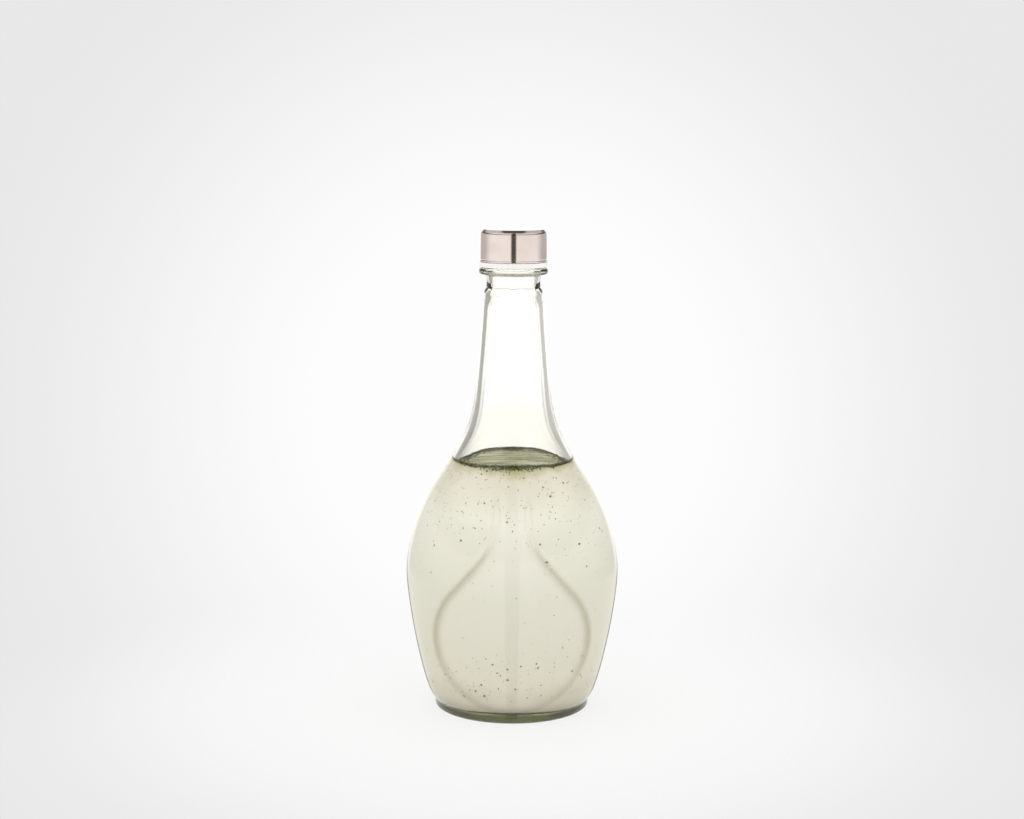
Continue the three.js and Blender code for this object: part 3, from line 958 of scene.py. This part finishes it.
# Where its parts meet: degrees round from the back of the set, degrees above the table, and parts of a
# unit direction for the two sides and the dark panel
FAR_TABLE_EDGE, BACK_EDGE, NEAR_EDGE, SLOT_EDGE = (12, 24), (22, 34), (62, 100), (170, 173)
TABLE_EDGE, WALL_TOP, WALL_TOP_END = (-14, -8), (10, 16), (24, 34)
CEILING_EDGE, SLOT_TOP = (38, 60), (55, 70)
SIDE_EDGE = -0.1, 0.1
PANEL_FRONT, PANEL_BACK, PANEL_SIDE = (-0.46, -0.36), (0.2, 0.3), (0.33, 0.43)

# The backdrop as the camera sees it: degrees of its middle above the table, degrees away from the
# middle, and brightness
SEEN_MIDDLE, SEEN_EDGE, SEEN_LIGHT = -8, (4, 16), (0.985, 0.81)
EVEN_LIGHT = 1.0

# The floor, in metres
FLOOR_REACH, FLOOR_SIDES, FLOOR_HEIGHT = 0.4, 96, -0.0003
FLOOR_GLOW, FLOOR_SHADOW = 0.97, 0.2
# Painted shadow under the base: its radius, soft edge and the glow left inside it.
UNDER_BASE, UNDER_EDGE, PAINTED_UNDER_SHADOW = BEARING_OUTER * MM, 0.006, 0.02
FLOOR_FADE, GLANCED_FADE = (0.06, 0.26), (0.036, 0.046)


def floor_look():
    look = Look("floor", Base_Color=(0.9, 0.9, 0.9, 1), Roughness=0.9, Specular_IOR_Level=0.1)
    path = look.light_path()
    pale = look.nodes.new("ShaderNodeEmission")
    pale.inputs["Color"].default_value = WHITE_LIGHT
    clear = look.nodes.new("ShaderNodeBsdfTransparent")
    # The camera sees a pale floor with a faint shadow; metal and glass see it without that shadow, and the
    # glow has a painted shadow under the base.
    mirrored = look.maths("MAXIMUM", path["Is Glossy Ray"], path["Is Transmission Ray"])
    seen = look.maths("MULTIPLY", path["Is Camera Ray"], 1 - FLOOR_SHADOW)
    lit = look.maths("MAXIMUM", mirrored, seen)
    surface = look.mixed_shader(lit, look.shader.outputs[0], pale.outputs[0])
    length = look.nodes.new("ShaderNodeVectorMath")
    length.operation = "LENGTH"
    look.links.new(look.place, length.inputs[0])
    away = length.outputs["Value"]
    bright = look.ranged(path["Is Transmission Ray"], 0.0, 1.0, FLOOR_GLOW, BACKDROP)
    # Painted shadow: the glow drops to almost nothing under the base.
    shade = look.ranged(away, UNDER_BASE - UNDER_EDGE, UNDER_BASE, PAINTED_UNDER_SHADOW, 1.0)
    look.links.new(look.maths("MULTIPLY", shade, bright), pale.inputs["Strength"])
    # It fades out with distance, and sooner for what is mirrored straight off the object.
    fade = look.stepped(away, *FLOOR_FADE, 0.0, 1.0)
    depth = look.maths("ADD", path["Transmission Depth"], path["Diffuse Depth"])
    glanced = look.maths("MULTIPLY", look.maths("LESS_THAN", depth, 0.5), path["Is Glossy Ray"])
    glanced = look.maths("MULTIPLY", glanced, look.ranged(away, *GLANCED_FADE, 0.0, 1.0))
    fade = look.maths("MAXIMUM", fade, glanced)
    look.links.new(look.mixed_shader(fade, surface, clear.outputs[0]), look.output.inputs["Surface"])
    return look.material


def make_floor():
    a = np.arange(FLOOR_SIDES) * 2 * math.pi / FLOOR_SIDES
    height = np.full(FLOOR_SIDES, FLOOR_HEIGHT)
    points = np.column_stack([FLOOR_REACH * np.cos(a), FLOOR_REACH * np.sin(a), height])
    mesh = bpy.data.meshes.new("floor")
    mesh.from_pydata(points.tolist(), [], [tuple(range(FLOOR_SIDES))])
    mesh.materials.append(floor_look())
    obj = bpy.data.objects.new("floor", mesh)
    bpy.context.scene.collection.objects.link(obj)


make_floor()


def make_world():
    world = bpy.data.worlds.new("studio")
    world.use_nodes = True
    graph = Graph(world.node_tree)
    maths, stepped, nodes, links = graph.maths, graph.stepped, graph.nodes, graph.links
    plain = nodes["Background"]
    direction = nodes.new("ShaderNodeTexCoord").outputs["Generated"]
    x, y, z = graph.axes(direction)
    path = graph.light_path()

    def degrees(angle):
        return maths("MULTIPLY", angle, 180 / math.pi)

    def inverse(share):
        return maths("SUBTRACT", 1.0, share)

    def between(share, first, second):
        return maths("ADD", maths("MULTIPLY", first, inverse(share)), maths("MULTIPLY", second, share))

    # Degrees round from the back of the set, and above the table.
    turn = degrees(maths("ARCTAN2", maths("ABSOLUTE", x), y))
    rise = degrees(maths("ARCSINE", z))
    # Light that has come through glass, or else is mirrored by metal or by the outside of the glass.
    through = maths("MINIMUM", path["Transmission Depth"], 1.0)
    mirrored = inverse(through)

    # Backdrop, sides and a softbox in front; they end in a dark edge under the ceiling.
    glass_side, metal_side = (stepped(x, *SIDE_EDGE, *sides) for sides in (GLASS_SIDES, METAL_SIDES))
    side = between(through, metal_side, glass_side)
    flank = between(stepped(turn, *NEAR_EDGE, 0.0, 1.0), side, SOFTBOX)
    walls = between(stepped(turn, *BACK_EDGE, 1.0, 0.0), flank, BACKDROP)
    wall_top = stepped(rise, *WALL_TOP, 0.0, WALL_TOP_SHADE)
    wall_top = maths("MULTIPLY", wall_top, stepped(rise, *WALL_TOP_END, 1.0, 0.0))
    # A dark panel hangs over the middle of the set.
    panel = maths("MULTIPLY", stepped(y, *PANEL_FRONT, 0.0, 1.0), stepped(y, *PANEL_BACK, 1.0, 0.0))
    panel = maths("MULTIPLY", panel, stepped(maths("ABSOLUTE", x), *PANEL_SIDE, 1.0, 0.0))
    ceiling = between(maths("MULTIPLY", panel, mirrored), CEILING, DARK_PANEL)
    above = between(stepped(rise, *CEILING_EDGE, 0.0, 1.0), walls, ceiling)
    above = maths("MULTIPLY", above, inverse(maths("MULTIPLY", wall_top, mirrored)))
    # The table is bright, and darker far behind the object for what is mirrored.
    far = maths("MULTIPLY", mirrored, stepped(turn, *FAR_TABLE_EDGE, 1.0, 0.0))
    table = maths("ADD", TABLE, maths("MULTIPLY", through, BACKDROP - TABLE))
    table = maths("SUBTRACT", table, maths("MULTIPLY", far, TABLE - FAR_TABLE))
    lit = between(stepped(rise, *TABLE_EDGE, 0.0, 1.0), table, above)
    # A dark upright slot in front shows as a stripe in the cap.
    slot = maths("MULTIPLY", mirrored, stepped(turn, *SLOT_EDGE, 0.0, 1 - SLOT))
    slot = maths("MULTIPLY", slot, stepped(rise, *SLOT_TOP, 1.0, 0.0))
    links.new(maths("MULTIPLY", lit, inverse(slot)), plain.inputs["Strength"])
    plain.inputs["Color"].default_value = WARM_LIGHT

    # What the camera sees: a white backdrop that darkens a little away from its middle.
    middle = nodes.new("ShaderNodeVectorMath")
    middle.operation = "DOT_PRODUCT"
    tilt = math.radians(SEEN_MIDDLE)
    middle.inputs[1].default_value = (0, math.cos(tilt), math.sin(tilt))
    links.new(direction, middle.inputs[0])
    off = degrees(maths("ARCCOSINE", middle.outputs["Value"]))
    seen = nodes.new("ShaderNodeBackground")
    seen.inputs["Color"].default_value = WHITE_LIGHT
    links.new(stepped(off, *SEEN_EDGE, *SEEN_LIGHT), seen.inputs["Strength"])

    # What lights plain surfaces: the same from all sides.
    even = nodes.new("ShaderNodeBackground")
    even.inputs["Color"].default_value = WHITE_LIGHT
    even.inputs["Strength"].default_value = EVEN_LIGHT
    scattered = maths("MINIMUM", path["Diffuse Depth"], 1.0)
    shader = graph.mixed_shader(scattered, plain.outputs[0], even.outputs[0])
    shader = graph.mixed_shader(path["Is Camera Ray"], shader, seen.outputs[0])
    links.new(shader, nodes["World Output"].inputs["Surface"])
    world.cycles.sampling_method = "NONE"
    bpy.context.scene.world = world


make_world()

# The camera, in metres
CAMERA_PLACE, CAMERA_TARGET = Vector((-0.0004, -0.8726, 0.2575)), Vector((-0.0004, 0.0, 0.1332))
CAMERA_LENS, CAMERA_SENSOR, CAMERA_ROLL = 70.2, 36.0, math.radians(0.27)


def make_camera():
    data = bpy.data.cameras.new("camera")
    data.lens = CAMERA_LENS
    data.sensor_width = CAMERA_SENSOR
    data.clip_start = 0.01
    camera = bpy.data.objects.new("camera", data)
    aim = (CAMERA_TARGET - CAMERA_PLACE).to_track_quat("-Z", "Y").to_matrix().to_4x4()
    roll = Matrix.Rotation(CAMERA_ROLL, 4, "Z")
    camera.matrix_world = Matrix.Translation(CAMERA_PLACE) @ aim @ roll
    bpy.context.scene.collection.objects.link(camera)
    bpy.context.scene.camera = camera


make_camera()

bpy.context.scene.view_settings.view_transform = "Standard"
